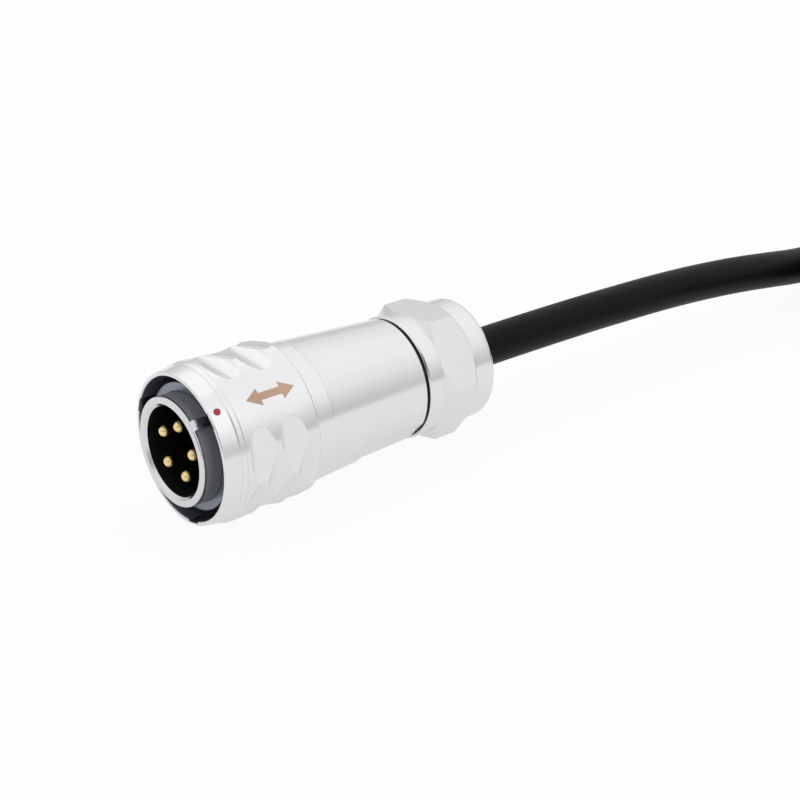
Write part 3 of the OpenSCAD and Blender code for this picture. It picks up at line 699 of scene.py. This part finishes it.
# From under the pocket's edge to the top: share of the radius, and height in millimetres
DOT_PROFILE = [(1.0, -0.12), (1.0, 0.1), (0.97, 0.14), (0.88, 0.18), (0.7, 0.215), (0.45, 0.24),
               (0.2, 0.252)]


def domed_dot():
    """The dot as a low drop of enamel in its pocket"""
    lo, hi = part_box("index_dot")
    place = (lo + hi) / 2
    out = Vector((place.x, 0, place.z - AXIS_Z)).normalized()
    along = Vector((0, 1, 0))
    side = out.cross(along)
    radius = (hi.y - lo.y) / 2
    rings = []
    for scale, height in DOT_PROFILE:
        turns = [TURN * k / DOT_SIDES for k in range(DOT_SIDES)]
        rings.append([place + side * radius * scale * math.cos(a)
                      + along * radius * scale * math.sin(a) + out * height * MM
                      for a in turns])
    return link_mesh("enamel_dot", *swept_tube(rings))


dot = domed_dot()
dress(dot, "dot_enamel", SLEEVE)
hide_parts("index_dot")


# ---- floor, world and lights ----------------------------------------------

FLOOR_HALF = 4
FLOOR_WHITE = (0.86, 0.86, 0.86)
FLOOR_TO_CAMERA = 0.93                  # shares of plain white; the rest keeps the shadow
FLOOR_TO_REFLECTIONS = 0.6
WHITE = (1, 1, 1, 1)
# Level of the light tent by the height of the direction, from the horizon to straight up
TENT_LEVELS = [(0.0, 0.62), (0.12, 0.66), (0.3, 0.78), (0.55, 0.95), (0.8, 1.05), (1.0, 1.0)]
# Direction, full and outer angle in degrees, and level of each soft patch in the tent
DARK_GAP = ((0.6, -0.66, 0.45), 10, 27, 0.15)
BRIGHT_PANEL = ((0.78, 0.08, 0.62), 10, 38, 1.14)
LAMP_TARGET = (0, 0, 0.01)
# Place, size and power of each lamp
LAMPS = {
    "key": ((-0.35, 0.1, 0.6), (0.5, 0.8), 0.15),
    "fill": ((0.55, -0.45, 0.45), (0.4, 0.4), 0.06),
}


def white_where_seen(shader, tree, camera_share, glossy_share):
    """Shows more of the pale backdrop to the camera and in reflections, and keeps its shadow"""
    path = add_node(tree, "LightPath")
    seen = add_node(tree, "Math", {0: path.outputs["Is Camera Ray"], 1: camera_share},
                    operation="MULTIPLY").outputs[0]
    share = add_node(tree, "Math", {0: path.outputs["Is Glossy Ray"], 1: glossy_share, 2: seen},
                     operation="MULTIPLY_ADD").outputs[0]
    glow = add_node(tree, "Emission", {"Color": WHITE}).outputs[0]
    return add_node(tree, "MixShader", {0: share, 1: shader, 2: glow}).outputs[0]


def add_floor():
    corners = [(x, y, 0) for x, y in ((-FLOOR_HALF, -FLOOR_HALF), (FLOOR_HALF, -FLOOR_HALF),
                                      (FLOOR_HALF, FLOOR_HALF), (-FLOOR_HALF, FLOOR_HALF))]
    floor = link_mesh("floor", corners, [(0, 1, 2, 3)], smooth=False)
    m = Shader("floor_paper", FLOOR_WHITE, 0.9)
    m.bsdf.inputs["Specular IOR Level"].default_value = 0.1
    surface = white_where_seen(m.bsdf.outputs[0], m.tree, FLOOR_TO_CAMERA, FLOOR_TO_REFLECTIONS)
    m.tree.links.new(surface, m.tree.nodes["Material Output"].inputs["Surface"])
    floor.data.materials.append(m.mat)


def patch(tree, before, direction, inner, outer, level):
    """Scales the tent's level to another one inside a soft round patch"""
    view = add_node(tree, "TexCoord").outputs["Generated"]
    dot = add_node(tree, "VectorMath", {0: view, 1: Vector(direction).normalized()},
                   operation="DOT_PRODUCT").outputs["Value"]
    share = add_node(tree, "MapRange", {"Value": dot,
                                        "From Min": math.cos(math.radians(outer)),
                                        "From Max": math.cos(math.radians(inner)),
                                        "To Min": 1, "To Max": level},
                     interpolation_type="SMOOTHSTEP").outputs[0]
    return add_node(tree, "Math", {0: before, 1: share}, operation="MULTIPLY").outputs[0]


def add_world():
    """A light tent with a dark gap on the camera's side and a brighter panel beside it"""
    world = bpy.data.worlds.new("tent")
    bpy.context.scene.world = world
    world.use_nodes = True
    tree = world.node_tree
    tree.nodes.clear()
    view = add_node(tree, "TexCoord").outputs["Generated"]
    height = add_node(tree, "SeparateXYZ", {0: view}).outputs["Z"]
    ramp = add_node(tree, "ValToRGB", {0: height})
    elements = ramp.color_ramp.elements
    for element, (pos, level) in zip(elements, (TENT_LEVELS[0], TENT_LEVELS[-1])):
        element.position, element.color = pos, (level, level, level, 1)
    for pos, level in TENT_LEVELS[1:-1]:
        elements.new(pos).color = (level, level, level, 1)
    level = ramp.outputs[0]
    for spot in (DARK_GAP, BRIGHT_PANEL):
        level = patch(tree, level, *spot)
    tent = add_node(tree, "Background", {"Color": level, "Strength": 1.0}).outputs[0]
    white = add_node(tree, "Background", {"Color": WHITE}).outputs[0]
    path = add_node(tree, "LightPath")
    mix = add_node(tree, "MixShader", {0: path.outputs["Is Camera Ray"], 1: tent, 2: white})
    add_node(tree, "OutputWorld", {"Surface": mix.outputs[0]})


def area_light(name, place, size, power):
    data = bpy.data.lights.new(name, "AREA")
    data.shape = "RECTANGLE"
    data.size, data.size_y = size
    data.energy = power
    lamp = bpy.data.objects.new(name, data)
    bpy.context.scene.collection.objects.link(lamp)
    place = Vector(place)
    lamp.location = place
    lamp.rotation_euler = (Vector(LAMP_TARGET) - place).to_track_quat("-Z", "Y").to_euler()


add_floor()
add_world()
for lamp_name, settings in LAMPS.items():
    area_light(lamp_name, *settings)

bpy.context.scene.view_settings.view_transform = "Standard"
